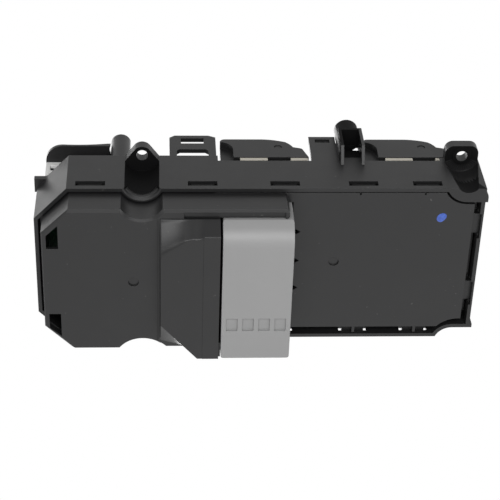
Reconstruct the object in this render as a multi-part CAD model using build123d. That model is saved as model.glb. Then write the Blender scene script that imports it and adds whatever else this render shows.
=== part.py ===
from build123d import *
import math
import os

# Driver's master power window switch, a bare module without its trim bezel.
# Millimetres. +z is up, out of the armrest, on the finger side. -x is the front of the vehicle.
# The origin is the centre of the four screw ears, on the ears' upper faces.

# Housing
housing_front_x = -122.5
housing_rear_x = 82.0
housing_half_width = 41.7
housing_wall = 1.8
deck_wall = 2.0
rim_z = -29.0
front_deck_z = 0.0
rear_deck_z = -4.5
deck_step_x = -39.0
corner_cut_x = 15.0
corner_cut_y = 15.8

# Screw ears and the screwdriver troughs under them
ear_pitch_x = 147.6
ear_setout = 3.1
ear_thickness = 5.0
ear_hole_r = 2.65
front_ear_tip_r = 4.4
rear_ear_half_length = 7.7
rear_ear_overhang = 5.1
rear_ear_corner_r = 4.0
rear_ear_rocker_gap = 0.4
rear_ear_ring_r = 4.3
rear_ear_ring_height = 0.5
trough_r = 8.4
trough_wall = 1.9
rear_trough_rim_r = 5.4
trough_mouth_bevel = 1.0
corner_block_proud = 1.2
corner_block_r = 5.0

# Snap latches between the housing and the base cover
latch_length = 13.3
latch_height = 3.9
latch_z = -24.4
latch_barb_height = 1.9
latch_clearance = 0.2
latch_end_gap = 1.4
side_latch_xs = (-96.9, -46.5, -9.3, 26.3, 55.5)
end_latch_ys = (-21.3, 16.4)

# Base cover: shallow bay at the rear, deep box at the front, ridge beside the connector
cover_wall = 1.8
floor_z = rim_z
floor_rear_x = 77.3
floor_near_margin = 2.2
floor_far_margin = 6.0
box_z = -43.0
box_front_x = -118.6
box_near_margin = 2.3
box_far_margin = 5.0
box_corner_cut = 12.4
box_near_bevel = 1.7
box_edge_bevel = 0.7
ridge_z = -51.0
ridge_front_x = -65.5
ridge_far_margin = 4.2
ridge_gap = 1.1
ridge_foot_r = 2.0
ridge_facet_margin = 9.2
ridge_facet_drop = 1.2
ridge_foot_bends = (13.5, 18.8)
ridge_crown_bends = (15.2, 19.6)
ridge_far_bend = 16.8
ridge_crown_front_y = -18.1
ridge_crown_bend_y = -25.1
ridge_crown_far_y = 18.0
ridge_ramp_run = 4.8
ridge_mid_run = 0.6
ridge_mid_rise = 0.3
ridge_step_x = -46.4
ridge_step_depth = 0.15
slot_rib_length = 8.0
slot_rib_gap = 0.2
hood_rear_x = -8.2
hood_margin = 7.1
hood_groove_margin = 3.9
hood_groove_x0 = -55.0
hood_groove_depth = 1.2
hood_corner_r = 1.5
skirt_end_z = -20.8
flange_thickness = 1.5
flange_gap = 0.4
near_front_trough_clear_r = 10.8
near_front_trough_bevel = 1.1
far_front_trough_clear_r = 13.5
near_rear_trough_clear_r = 11.4
far_rear_trough_clear_r = 13.7
far_rear_trough_clear_x = 2.5
notch_ys = (-18.5, -2.6, 12.7)
notch_length = 5.0
notch_depth = 3.9
gate_mark_r = 2.4
gate_mark_depth = 0.8
front_gate_mark = (-77.7, -0.6)
rear_gate_mark = (14.5, -2.0)
floor_tick_xs = (24.7, 54.2)
floor_tick_width = 0.8
floor_tick_length = 1.2
prop_xs = (-98.0, -20.0, 36.0)
prop_length = 3.0
prop_width = 2.6

# Connector header: a tall shroud on the board, its mouth facing +y
header_x0 = -37.8
header_x1 = -6.1
header_near_gap = 0.3
header_far_margin = 4.7
header_overhang = 7.0
header_wall = 1.6
header_top_slope = 4.7
header_slope_drop = 8.0
header_crown_r = 9.0
header_end_r = 1.2
header_near_edge_r = 1.0
header_mouth_depth = 20.0
header_overhang_z = -30.0
header_gap = 0.6
pocket_y0 = 14.6
pocket_y1 = 21.5
pocket_width = 5.2
pocket_pitch = 7.4
pocket_depth = 0.9
pin_count = 9
pin_pitch_x = 2.9
pin_row_pitch = 6.4
pin_size = 1.0
pin_reach = 13.0

# Circuit board and what is on it
board_top_z = -17.8
board_thickness = 1.6
board_gap = 0.7
boss_half = 3.2
screw_r = 1.25
screw_head_r = 2.6
screw_head_height = 1.6
screw_length = 8.0
screw_bore_gap = 0.05
boss_margin = 12.7
front_boss_xs = (-96.0, -58.0)
rear_boss_x = 12.0
switch_unit_length = 20.0
switch_unit_width = 16.0
switch_unit_top_z = -10.0
switch_slot_depth = 4.0
relay_xs = (-98.0, -80.0)
relay_y = -1.5
relay_length = 15.0
relay_width = 13.0
relay_height = 11.0
relay_edge = 0.8
chip_x = -44.0
chip_margin = 11.7
chip_size = 12.0
chip_height = 1.8
chip_corner = 1.0
capacitor_xs = (-57.0, -49.5)
capacitor_y = 3.5
capacitor_r = 3.1
capacitor_height = 9.0
capacitor_edge = 0.5
deck_rib_xs = (-20.0, 10.0, 40.0, 70.0)
deck_rib_setback = 2.5
deck_rib_height = 7.5
deck_cross_rib_height = 5.0

# Window rockers, two beside each other in two rows
rocker_front_xs = (-37.4, 30.5)
rocker_length = 41.1
rocker_width = 28.0
rocker_margin = 2.4
rocker_bottom_z = 2.7
rocker_top_z = 19.1
rocker_wall = 1.6
rocker_nose_r = 2.4
rocker_solid_nose = 9.0
rocker_pivot_setback = 13.9
rocker_pivot_z = 11.9
pivot_r = 1.8
pivot_hole_gap = 0.1
pillar_half_length = 3.1
pillar_corner = 0.6
pin_end_inset = 0.3
pillar_thickness = 2.4
pillar_gap = 0.5
scoop_length = 6.0
scoop_top_z = 16.6
scoop_depth = 3.4

# Rocker actuators: light frames inside the rockers, each with a leg down to its switch unit
actuator_bottom_z = 0.9
actuator_top_z = 7.0
actuator_wall = 1.8
actuator_front_inset = 8.0
actuator_rear_inset = 1.4
actuator_flange_inset = 0.4
actuator_pillar_room = 5.4
leg_length = 6.0
leg_width = 5.0
leg_tip_z = -12.6
leg_swing = 3.2

# Door lock rocker, a thin cap over a narrower carrier
lock_x0 = -119.0
lock_length = 31.8
lock_pivot_setback = 15.0
lock_margin = 2.4
lock_width = 23.8
lock_post_gap = 0.7
lock_corner_r = 8.3
lock_cap_z = 12.7
lock_top_z = 14.9
lock_dish = 1.1
lock_wall = 1.8
lock_carrier_inset = 0.1
lock_carrier_near_inset = 8.9
lock_carrier_far_inset = 0.9
lock_carrier_bottom_z = 1.9
lock_leg_width = 3.6
lock_pivot_r = 1.4
lock_pillar_half = 2.2
lock_pivot_z = 8.0
lock_window_inset = 2.0
lock_window_length = 3.6
lock_window_z0 = 5.5
lock_window_z1 = 10.0
lock_hook_gap = 0.3
lock_hook_thickness = 1.3

# Window lock button, a push button in a guide
button_x = -62.0
button_margin = 29.7
button_chamfer = 0.8
button_dish = 0.8
button_length = 14.0
button_width = 11.0
button_top_z = 13.0
button_stem_z = -8.6
button_guide_top_z = 6.0
button_guide_wall = 1.6
button_gap = 0.25

# Mirror adjusting pad on a gimbal ring
mirror_setback = 24.5
mirror_margin = 24.7
mirror_pad_r = 13.5
mirror_pad_z0 = 8.0
mirror_pad_z1 = 12.5
mirror_rim = 2.0
mirror_dish = 0.9
mirror_pad_chamfer = 0.9
gimbal_half = 7.6
gimbal_wall = 2.2
gimbal_corner = 2.0
gimbal_z0 = 2.4
gimbal_z1 = 6.0
gimbal_pin_r = 0.9
gimbal_pin_gap = 0.08
gimbal_side_gap = 0.5
gimbal_lug = 2.2

# Mirror selector, a small slide knob
selector_x = -66.0
selector_travel = 3.0
selector_cap_length = 9.0
selector_cap_width = 7.0
selector_top_z = 7.5
selector_rib = 3.0
selector_stem_width = 3.6
selector_gap = 0.3
selector_edge = 0.6

# Clip frames and posts along the near side
frame_thickness = 2.1
clip_frame_x0 = -61.2
clip_frame_x1 = -39.6
clip_frame_top_z = 18.4
small_frame_x0 = 4.4
small_frame_x1 = 16.8
small_frame_top_z = 17.4
small_frame_thickness = 2.1
small_frame_pocket = 1.4
front_post_x = -83.9
front_post_r = 4.6
front_post_top_z = 19.5
guide_x = 23.1
guide_half = 5.5
guide_reach = 7.7
guide_post_x = 22.3
guide_r = 5.6
guide_top_z = 20.3
guide_fin = 1.4
guide_fin_top_z = 12.4
guide_channel_z = 10.9
guide_fin_root_z = -8.2
guide_fin_toe_z = -3.4
guide_recess = 1.0
guide_recess_z = -1.7
guide_slit_z0 = 6.5
guide_slit_z1 = 10.0
guide_web_z = 11.5
end_tab_reach = 1.2
end_tab_root = 5.2
end_tab_y0 = -30.6
end_tab_y1 = -23.5
end_tab_height = 2.6

# Worked out from the values above
ear_x = ear_pitch_x / 2
ear_y = housing_half_width + ear_setout
ear_under_z = front_deck_z - ear_thickness
trough_outer_r = trough_r + trough_wall
board_under_z = board_top_z - board_thickness
inner_near_y = housing_half_width - housing_wall
floor_near_y = floor_near_margin - housing_half_width
floor_far_y = housing_half_width - floor_far_margin
box_near_y = box_near_margin - housing_half_width
box_far_y = housing_half_width - box_far_margin
ridge_far_y = housing_half_width - ridge_far_margin
ridge_facet_y = housing_half_width - ridge_facet_margin
hood_near_y = hood_margin - housing_half_width
hood_groove_y = hood_groove_margin - housing_half_width
header_y0 = hood_near_y + header_near_gap
header_y1 = housing_half_width - header_far_margin
header_seat_y1 = header_y1 - header_overhang
boss_y = housing_half_width - boss_margin
boss_places = (
    (front_boss_xs[0], boss_y), (front_boss_xs[1], -boss_y), (rear_boss_x, boss_y), (rear_boss_x, -boss_y),
)
rocker_outer_y = housing_half_width - rocker_margin
rocker_pivot_offset = rocker_length - rocker_pivot_setback
rear_ear_inner_y = rocker_outer_y - actuator_flange_inset + rear_ear_rocker_gap
lock_x1 = lock_x0 + lock_length
lock_pivot_x = lock_x0 + lock_pivot_setback
lock_near_y = lock_margin - housing_half_width
lock_far_y = lock_near_y + lock_width
lock_carrier_x0 = lock_x0 + lock_carrier_inset
lock_carrier_near_y = lock_near_y + lock_carrier_near_inset
lock_carrier_far_y = lock_far_y - lock_carrier_far_inset
lock_leg_y = (lock_carrier_near_y + lock_carrier_far_y) / 2
button_y = button_margin - housing_half_width
mirror_x = housing_front_x + mirror_setback
mirror_y = housing_half_width - mirror_margin
selector_y = mirror_y
over = 1.0


def block(x0, x1, y0, y1, z0, z1):
    """A box between two corners."""
    middle = Pos((x0 + x1) / 2, (y0 + y1) / 2, (z0 + z1) / 2)
    return middle * Box(abs(x1 - x0), abs(y1 - y0), abs(z1 - z0))


def rod(x, y, r, z0, z1):
    """An upright cylinder."""
    return Pos(x, y, (z0 + z1) / 2) * Cylinder(r, z1 - z0)


def cross_rod(x, z, r, y0, y1):
    """A cylinder along y."""
    return Pos(x, (y0 + y1) / 2, z) * Rot(90, 0, 0) * Cylinder(r, y1 - y0)


def plate(face, z0, z1):
    """A flat outline made into a plate between two heights."""
    return Pos(0, 0, z0) * extrude(face, z1 - z0)


def polygon(points):
    return make_face(Polyline(*points, close=True))


def side_form(face, y0, y1):
    """An outline drawn in x and z, carried from y0 to y1."""
    return Pos(0, y1, 0) * extrude(Plane.XZ * face, y1 - y0)


def end_form(face, x0, x1):
    """An outline drawn in y and z, carried from x0 to x1."""
    return Pos(x0, 0, 0) * extrude(Plane.YZ * face, x1 - x0)


def housing_outline():
    y = housing_half_width
    x0 = housing_front_x
    return polygon([
        (x0, corner_cut_y - y), (x0 + corner_cut_x, -y), (housing_rear_x, -y),
        (housing_rear_x, y), (x0 + corner_cut_x, y), (x0, y - corner_cut_y),
    ])


def inset(face, amount):
    return offset(face, amount=-amount, kind=Kind.INTERSECTION)


def front_side(solid, x):
    far = 400
    return solid & block(-far, x, -far, far, -far, far)


def rear_side(solid, x):
    far = 400
    return solid & block(x, far, -far, far, -far, far)


def housing_shell():
    """Side walls and the stepped deck, open at the rim."""
    outer = housing_outline()
    inner = inset(outer, housing_wall)
    front = front_side(plate(outer, rim_z, front_deck_z), deck_step_x)
    rear = rear_side(plate(outer, rim_z, rear_deck_z), deck_step_x)
    wall_x = deck_step_x - deck_wall
    front_space = front_side(plate(inner, rim_z, front_deck_z - deck_wall), wall_x)
    rear_space = rear_side(plate(inner, rim_z, rear_deck_z - deck_wall), wall_x)
    return front + rear - front_space - rear_space


def trough_columns():
    """Walls around the four screwdriver troughs, inside the housing's outline."""
    columns = Part()
    for side in (-1, 1):
        for x in (-ear_x, ear_x):
            columns += rod(x, side * ear_y, trough_outer_r, rim_z, front_deck_z - deck_wall)
    inside = plate(housing_outline(), rim_z, front_deck_z)
    return columns & inside


def corner_blocks():
    """Thicker rear corners that carry the rear ears."""
    rear = housing_rear_x + corner_block_proud
    blocks = Part()
    for side in (-1, 1):
        inner_y = side * (ear_y - trough_outer_r)
        corner = block(ear_x, rear, inner_y, side * housing_half_width, rim_z, rear_deck_z)
        edge = corner.edges().filter_by(Axis.Z).sort_by(Axis.X)[-2:]
        outer = edge.sort_by(Axis.Y)[0 if side < 0 else -1]
        blocks += fillet(outer, corner_block_r)
    return blocks


def front_ear(side):
    tip = Pos(-ear_x, side * ear_y) * Circle(front_ear_tip_r)
    root_y = side * housing_half_width
    half = math.sqrt(trough_r**2 - (ear_y - housing_half_width) ** 2)
    root = Line((-ear_x - half, root_y), (-ear_x + half, root_y))
    back = Line((-ear_x - half, root_y - side * trough_r), (-ear_x + half, root_y - side * trough_r))
    outline = make_hull(tip.edges() + root.edges() + back.edges())
    return plate(outline, ear_under_z, front_deck_z)


def rear_ear(side):
    outer_y = side * (ear_y + rear_ear_overhang)
    inner_y = side * rear_ear_inner_y
    x0 = ear_x - rear_ear_half_length
    x1 = ear_x + rear_ear_half_length
    ear = block(x0, x1, inner_y, outer_y, ear_under_z, front_deck_z)
    corners = ear.edges().filter_by(Axis.Z).sort_by(Axis.Y)
    outer = corners[:2] if side < 0 else corners[-2:]
    ear = fillet(outer, rear_ear_corner_r)
    ring = rod(ear_x, side * ear_y, rear_ear_ring_r, ear_under_z - rear_ear_ring_height, front_deck_z)
    return ear + ring


def trough_cuts():
    """Room for the screwdriver below each ear, and the screw holes."""
    cuts = Part()
    for side in (-1, 1):
        y = side * ear_y
        cuts += rod(-ear_x, y, trough_r, rim_z - over, ear_under_z)
        mouth = Cone(trough_r + trough_mouth_bevel, trough_r, trough_mouth_bevel)
        cuts += Pos(-ear_x, y, rim_z + trough_mouth_bevel / 2) * mouth
    depth = ear_under_z - rim_z
    taper = Pos(ear_x, 0, rim_z + depth / 2) * Cone(rear_trough_rim_r, trough_r, depth)
    cuts += Pos(0, -ear_y, 0) * taper
    cuts += rod(ear_x, ear_y, trough_r, rim_z - over, ear_under_z)
    open_y = ear_y - trough_r
    cuts += block(ear_x, ear_x + 2 * trough_r, open_y, ear_y, rim_z - over, ear_under_z)
    return cuts


def ear_holes():
    holes = Part()
    for side in (-1, 1):
        for x in (-ear_x, ear_x):
            holes += rod(x, side * ear_y, ear_hole_r, ear_under_z - 2 * over, front_deck_z + over)
    return holes


def latch_openings():
    """Slots in the side walls and the rear wall for the cover's latches."""
    z0 = latch_z - latch_height / 2
    z1 = latch_z + latch_height / 2
    half = latch_length / 2
    slots = Part()
    for x in side_latch_xs:
        for side in (-1, 1):
            y0 = side * (inner_near_y - over)
            y1 = side * (housing_half_width + over)
            slots += block(x - half, x + half, y0, y1, z0, z1)
    for y in end_latch_ys:
        x0 = housing_rear_x - housing_wall
        slots += block(x0 - over, housing_rear_x + over, y - half, y + half, z0, z1)
        slots += block(x0 - over, x0 + housing_wall / 2, y - half, y + half, rim_z - over, rim_z + 3)
    return slots


def clip_frame():
    """Upright frame with two windows that the trim's hooks enter."""
    y0 = -housing_half_width
    y1 = y0 + frame_thickness
    x0, x1, top = clip_frame_x0, clip_frame_x1, clip_frame_top_z
    low = front_deck_z - deck_wall
    outline = polygon([
        (x0, low), (x1, low), (x1, top - 1.7), (x1 - 3.3, top), (x0 + 2.4, top), (x0, top - 2.0),
    ])
    frame = side_form(outline, y0, y1)
    middle = (x0 + x1) / 2
    upper = block(middle - 5.4, middle + 5.2, y0 - over, y1 + over, 11.1, 15.9)
    lower = side_form(polygon([
        (middle - 7.4, front_deck_z), (middle + 7.2, front_deck_z), (middle + 7.2, 4.4),
        (middle + 5.8, 5.8), (middle - 6.0, 5.8), (middle - 7.4, 4.4),
    ]), y0 - over, y1 + over)
    return frame - upper - lower


def small_frame():
    """Upright tab with a blind latch pocket."""
    y0 = -housing_half_width
    low = rear_deck_z - deck_wall
    tab = block(small_frame_x0, small_frame_x1, y0, y0 + small_frame_thickness, low, small_frame_top_z)
    pocket = block(small_frame_x0 + 2.8, small_frame_x0 + 9.7, y0 - over, y0 + small_frame_pocket, 12.0, 15.1)
    return tab - pocket


def clip_guide():
    """Round post over an open channel between two fins, standing off the near wall."""
    wall_y = -housing_half_width
    outer_y = wall_y - guide_reach
    root_y = wall_y + housing_wall
    post = rod(guide_post_x, outer_y + guide_r, guide_r, guide_fin_toe_z, guide_top_z)
    fin = end_form(polygon([
        (wall_y + over, guide_fin_root_z), (wall_y, guide_fin_root_z), (outer_y, guide_fin_toe_z),
        (outer_y, guide_fin_top_z), (root_y, guide_fin_top_z), (root_y, rear_deck_z), (wall_y + over, rear_deck_z),
    ]), guide_x - guide_half, guide_x + guide_half)
    web = block(small_frame_x1 - over, guide_x, wall_y, root_y, rear_deck_z - deck_wall, guide_web_z)
    inside = guide_half - guide_fin
    x0, x1 = guide_x - inside, guide_x + inside
    channel = block(x0, x1, outer_y - guide_r, wall_y, guide_fin_root_z - over, guide_channel_z)
    recess = block(x0, x1, wall_y - over, wall_y + guide_recess, guide_recess_z, guide_channel_z)
    slit = block(x0, x1, wall_y, root_y + over, guide_slit_z0, guide_slit_z1)
    return post + fin + web - channel - recess - slit


def near_side_posts():
    post_y = front_post_r - housing_half_width
    post = rod(front_post_x, post_y, front_post_r, front_deck_z - deck_wall, front_post_top_z)
    tab = block(
        housing_front_x - end_tab_reach, housing_front_x + end_tab_root, end_tab_y0, end_tab_y1,
        front_deck_z - end_tab_height, front_deck_z,
    )
    return post + tab


def rocker_places():
    """Front x and side of each of the four window rockers."""
    return [(x, side) for x in rocker_front_xs for side in (-1, 1)]


def rocker_span(side):
    """Outer and inner y of a rocker on one side."""
    return side * rocker_outer_y, side * (rocker_outer_y - rocker_width)


def pillar(x, half, y0, y1, base_z, pivot_z):
    """Upright pillar with cut corners, its top as high over the pivot as it is wide."""
    cut = pillar_corner * half
    return side_form(polygon([
        (x - half, base_z), (x + half, base_z), (x + half, pivot_z + half - cut), (x + half - cut, pivot_z + half),
        (x - half + cut, pivot_z + half), (x - half, pivot_z + half - cut),
    ]), y0, y1)


def rocker_pillars():
    """Pillars with pivot pins that the rockers snap over."""
    pillars = Part()
    base_z = rear_deck_z - deck_wall / 2
    for front_x, side in rocker_places():
        x = front_x + rocker_pivot_offset
        for wall_y, inward in zip(rocker_span(side), (-side, side)):
            face_y = wall_y + inward * (rocker_wall + pillar_gap)
            back_y = face_y + inward * pillar_thickness
            y0, y1 = sorted((face_y, back_y))
            pin_y0, pin_y1 = sorted((wall_y + inward * pin_end_inset, back_y))
            pillars += pillar(x, pillar_half_length, y0, y1, base_z, rocker_pivot_z)
            pillars += cross_rod(x, rocker_pivot_z, pivot_r, pin_y0, pin_y1)
    return pillars


def leg_slots():
    """Openings in the rear deck for the actuators' legs."""
    slots = Part()
    half_x = leg_length / 2 + leg_swing
    half_y = leg_width / 2 + 0.6
    for front_x, side in rocker_places():
        x = front_x + rocker_pivot_offset
        y = side * (rocker_outer_y - rocker_width / 2)
        slots += block(x - half_x, x + half_x, y - half_y, y + half_y, rear_deck_z - 3 * deck_wall, rear_deck_z + over)
    return slots


def deck_ribs():
    """Two long ribs that stiffen the rear deck between the rockers."""
    ribs = Part()
    y = rocker_outer_y - rocker_width - deck_rib_setback
    for side in (-1, 1):
        y0, y1 = sorted((side * y, side * (y - housing_wall)))
        ribs += block(deck_step_x, housing_rear_x, y0, y1, rear_deck_z - deck_wall / 2, rear_deck_z + deck_rib_height)
    for x in deck_rib_xs:
        ribs += block(x, x + housing_wall, -y, y, rear_deck_z - deck_wall / 2, rear_deck_z + deck_cross_rib_height)
    return ribs


def lock_pillars():
    """Pillars inside the door lock carrier, with its pivot pins."""
    x = lock_pivot_x
    pillars = Part()
    for wall_y, inward in zip((lock_carrier_near_y, lock_carrier_far_y), (1, -1)):
        face_y = wall_y + inward * (lock_wall + pillar_gap)
        back_y = face_y + inward * pillar_thickness
        y0, y1 = sorted((face_y, back_y))
        pin_y0, pin_y1 = sorted((wall_y + inward * pin_end_inset, back_y))
        pillars += pillar(x, lock_pillar_half, y0, y1, front_deck_z - deck_wall / 2, lock_pivot_z)
        pillars += cross_rod(x, lock_pivot_z, lock_pivot_r, pin_y0, pin_y1)
    return pillars


def lock_leg_slot():
    x = lock_pivot_x
    y = lock_leg_y
    half_x = leg_length / 2 + leg_swing
    half_y = lock_leg_width / 2 + 0.6
    return block(x - half_x, x + half_x, y - half_y, y + half_y, front_deck_z - 2 * deck_wall, front_deck_z + over)


def button_guide():
    """Square chimney that guides the window lock button."""
    half_x = button_length / 2 + button_gap + button_guide_wall
    half_y = button_width / 2 + button_gap + button_guide_wall
    return block(
        button_x - half_x, button_x + half_x, button_y - half_y, button_y + half_y,
        front_deck_z - deck_wall / 2, button_guide_top_z,
    )


def button_bore():
    half_x = button_length / 2 + button_gap
    half_y = button_width / 2 + button_gap
    return block(
        button_x - half_x, button_x + half_x, button_y - half_y, button_y + half_y,
        front_deck_z - 2 * deck_wall, button_guide_top_z + over,
    )


def gimbal_lugs():
    """Two lugs on the front deck that hold the gimbal ring's pins."""
    z = (gimbal_z0 + gimbal_z1) / 2
    lugs = Part()
    for side in (-1, 1):
        near = mirror_x + side * (gimbal_half + gimbal_side_gap)
        far = near + side * gimbal_lug
        x0, x1 = sorted((near, far))
        lug = block(x0, x1, mirror_y - 2.5, mirror_y + 2.5, front_deck_z - deck_wall / 2, z + 1.9)
        bore = Pos((x0 + x1) / 2, mirror_y, z) * Rot(0, 90, 0) * Cylinder(
            gimbal_pin_r + gimbal_pin_gap, 2 * gimbal_lug
        )
        lugs += lug - bore
    return lugs


def mirror_opening():
    """Square opening in the front deck under the gimbal ring."""
    half = gimbal_half - gimbal_wall
    return block(
        mirror_x - half, mirror_x + half, mirror_y - half, mirror_y + half,
        front_deck_z - 2 * deck_wall, front_deck_z + over,
    )


def selector_slot():
    half = selector_stem_width / 2 + selector_gap
    reach = selector_cap_length / 2 + selector_travel - 1.0
    return block(
        selector_x - reach, selector_x + reach, selector_y - half, selector_y + half,
        front_deck_z - 2 * deck_wall, front_deck_z + over,
    )


def boss_top(x):
    return front_deck_z - deck_wall if x < deck_step_x else rear_deck_z - deck_wall


def board_bosses():
    """Bosses under the deck that the board is screwed to."""
    bosses = Part()
    for x, y in boss_places:
        bosses += block(
            x - boss_half, x + boss_half, y - boss_half, y + boss_half, board_top_z, boss_top(x) + deck_wall / 2
        )
    return bosses


def board_boss_bores():
    bores = Part()
    for x, y in boss_places:
        bores += rod(x, y, screw_r + screw_bore_gap, board_top_z - over, board_under_z + screw_length + 0.6)
    return bores


def upper_housing():
    body = housing_shell() + trough_columns() + corner_blocks() - trough_cuts()
    for side in (-1, 1):
        body += front_ear(side) + rear_ear(side)
    body -= ear_holes() + latch_openings()
    body += clip_frame() + small_frame() + clip_guide() + near_side_posts()
    body += rocker_pillars() + deck_ribs() + lock_pillars() + button_guide() + gimbal_lugs() + board_bosses()
    body -= leg_slots() + lock_leg_slot() + button_bore() + selector_slot() + board_boss_bores()
    return body - mirror_opening()


def box_outline():
    cut = box_corner_cut
    rear_x = header_x0 - ridge_gap
    return polygon([
        (box_front_x, box_near_y + cut), (box_front_x + cut, box_near_y), (rear_x, box_near_y),
        (rear_x, box_far_y), (box_front_x + cut, box_far_y), (box_front_x, box_far_y - cut),
    ])


def floor_outline():
    front_x = header_x0 - 3 * ridge_gap
    return polygon([
        (front_x, floor_near_y), (floor_rear_x, floor_near_y), (floor_rear_x, floor_far_y), (front_x, floor_far_y),
    ])


def trough_clearances(grow, z0, z1):
    """Cylinders that keep the cover clear of the trough walls."""
    near_r = near_rear_trough_clear_r + grow
    far_r = far_rear_trough_clear_r + grow
    far_x = ear_x + far_rear_trough_clear_x
    return (
        rod(-ear_x, -ear_y, near_front_trough_clear_r + grow, z0, z1)
        + rod(-ear_x, ear_y, far_front_trough_clear_r + grow, z0, z1)
        + rod(ear_x, -ear_y, near_r, z0, z1)
        + rod(far_x, ear_y, far_r, z0, z1)
        + block(far_x, far_x + 20, ear_y - far_r, ear_y, z0, z1)
        + block(ear_x, ear_x + 20, -ear_y, near_r - ear_y, z0, z1)
    )


def between(first, second, run, far_run):
    """Points part of the way from one outline to another, with the ramp's points at their own rate."""
    points = []
    for index, (start, end) in enumerate(zip(first, second)):
        t = run if index < 4 else far_run
        points.append((start[0] + t * (end[0] - start[0]), start[1] + t * (end[1] - start[1])))
    return points


def ridge_points(step):
    """Outlines of the ridge at its foot and at its crown, the ramp's points first."""
    x0 = ridge_front_x + step
    x1 = header_x0 - ridge_gap - step
    far_y = ridge_far_y - step
    far = [(x1, far_y), (x0 + ridge_far_bend, far_y)]
    foot_y = hood_near_y + step
    crown_y = hood_near_y + ridge_ramp_run + step
    foot = [(x0, foot_y), (x0 + ridge_foot_bends[0], foot_y), (x0 + ridge_foot_bends[1], foot_y), (x1, foot_y)]
    crown = [
        (x0, ridge_crown_front_y + step), (x0 + ridge_crown_bends[0], ridge_crown_bend_y + step),
        (x0 + ridge_crown_bends[1], crown_y), (x1, crown_y),
    ]
    foot += far + [(x0, ridge_facet_y - step)]
    crown += far + [(x0, ridge_crown_far_y - step)]
    return foot, crown


def ridge(step):
    """Raised ridge beside the connector, with a hollow ramp at its near end. A step gives the space inside it."""
    foot, crown = ridge_points(step)
    middle = between(foot, crown, ridge_mid_run, ridge_mid_rise)
    low_z = box_z + step
    high_z = ridge_z + step
    middle_z = low_z + ridge_mid_rise * (high_z - low_z)
    low = loft([Pos(0, 0, low_z) * polygon(foot), Pos(0, 0, middle_z) * polygon(middle)], ruled=True)
    high = loft([Pos(0, 0, middle_z) * polygon(middle), Pos(0, 0, high_z) * polygon(crown)], ruled=True)
    return low + high


def ridge_step():
    """Shallow step that sets the front part of the ridge's crown a little lower."""
    return block(
        ridge_front_x - over, ridge_step_x, -housing_half_width, housing_half_width,
        ridge_z - over, ridge_z + ridge_step_depth,
    )


def slot_rib():
    """Rib that closes the far end of the slot between the ridge and the header."""
    return block(
        header_x0 - ridge_gap - over, header_x0 - slot_rib_gap, ridge_far_y - slot_rib_length, ridge_far_y,
        ridge_z + cover_wall, floor_z,
    )


def ridge_foot_fillet():
    """Soft inner corner where the ridge rises from the front box."""
    r = ridge_foot_r
    x = ridge_front_x
    z = box_z
    corner = make_face([
        Line((x, z), (x, z - r)), RadiusArc((x, z - r), (x - r, z), -r), Line((x - r, z), (x, z)),
    ])
    foot, crown = ridge_points(0)
    middle = between(foot, crown, ridge_mid_run, ridge_mid_rise)
    middle_z = z + ridge_mid_rise * (ridge_z - z)
    side = end_form(polygon([
        (foot[0][1], z), (middle[0][1], middle_z), (crown[0][1], ridge_z),
        (crown[-1][1], ridge_z), (foot[-1][1], z),
    ]), x - 2 * r, x + r)
    return side_form(corner, hood_near_y, ridge_facet_y) & side


def cover_side_profile():
    """Cross-section of the deep part of the cover, with the bevel along its near edge."""
    high = floor_z + cover_wall / 2
    return polygon([
        (box_near_y, high), (box_near_y, box_z + box_edge_bevel), (box_near_y + box_near_bevel, box_z),
        (box_far_y, box_z), (box_far_y, high),
    ])


def hood():
    """Wall and lip over the rear end of the connector header, rounded at its far corner."""
    plan = block(ridge_front_x, hood_rear_x, box_near_y, hood_near_y, box_z, floor_z + over)
    plan = fillet(plan.edges().filter_by(Axis.Z).sort_by(Axis.X)[-2:], hood_corner_r)
    return plan & end_form(cover_side_profile(), ridge_front_x, hood_rear_x)


def hood_groove():
    """Groove between the hood's lip and the header."""
    return block(
        hood_groove_x0, hood_rear_x - box_near_bevel, hood_groove_y, hood_near_y + over,
        box_z - over, box_z + hood_groove_depth,
    )


def front_box():
    """Deep front box with bevelled lower edges."""
    box = plate(box_outline(), box_z, floor_z + cover_wall / 2)
    low = box.faces().sort_by(Axis.Z)[0].edges()
    front = [edge for edge in low if edge.center().X < box_front_x + box_corner_cut / 2 + 1]
    box = chamfer(front, box_edge_bevel)
    facet = end_form(polygon([
        (ridge_facet_y, box_z), (ridge_facet_y, box_z - over), (box_far_y + over, box_z - over),
        (box_far_y + over, box_z + ridge_facet_drop),
    ]), ridge_front_x, header_x0)
    return (box & end_form(cover_side_profile(), box_front_x, header_x0)) - facet


def outer_cover():
    return front_box() + plate(floor_outline(), floor_z, floor_z + cover_wall) + hood()


def cover_hollow():
    """Space inside the deep box and the ridge, open upward."""
    wall = cover_wall
    box = plate(inset(box_outline(), wall), box_z + wall + ridge_facet_drop, skirt_end_z + over)
    low = box & block(box_front_x, ridge_front_x, -50, 50, box_z, floor_z)
    box += Pos(0, 0, -ridge_facet_drop) * low
    hood_space = block(
        hood_groove_x0, hood_rear_x - wall, box_near_y + wall, hood_near_y - wall,
        box_z + wall + hood_groove_depth, floor_z + wall + over,
    )
    ridge_space = ridge(wall)
    ridge_space += plate(ridge_space.faces().sort_by(Axis.Z)[-1], box_z + wall, box_z + 2 * wall + ridge_facet_drop)
    hollow = box + hood_space + ridge_space
    return hollow - trough_clearances(wall, ridge_z - over, 0)


def cover_skirt():
    """Short wall round the cover inside the housing, with a flange that fills the gap to the wall."""
    outline = box_outline() + floor_outline()
    inner = inset(outline, cover_wall)
    inside = plate(inner, floor_z + cover_wall, skirt_end_z + over)
    inside -= trough_clearances(cover_wall, floor_z, skirt_end_z + over)
    wall = plate(outline, floor_z, skirt_end_z)
    rim = inset(housing_outline(), housing_wall + flange_gap)
    flange = plate(rim, skirt_end_z - flange_thickness, skirt_end_z)
    return wall + flange - inside


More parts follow.
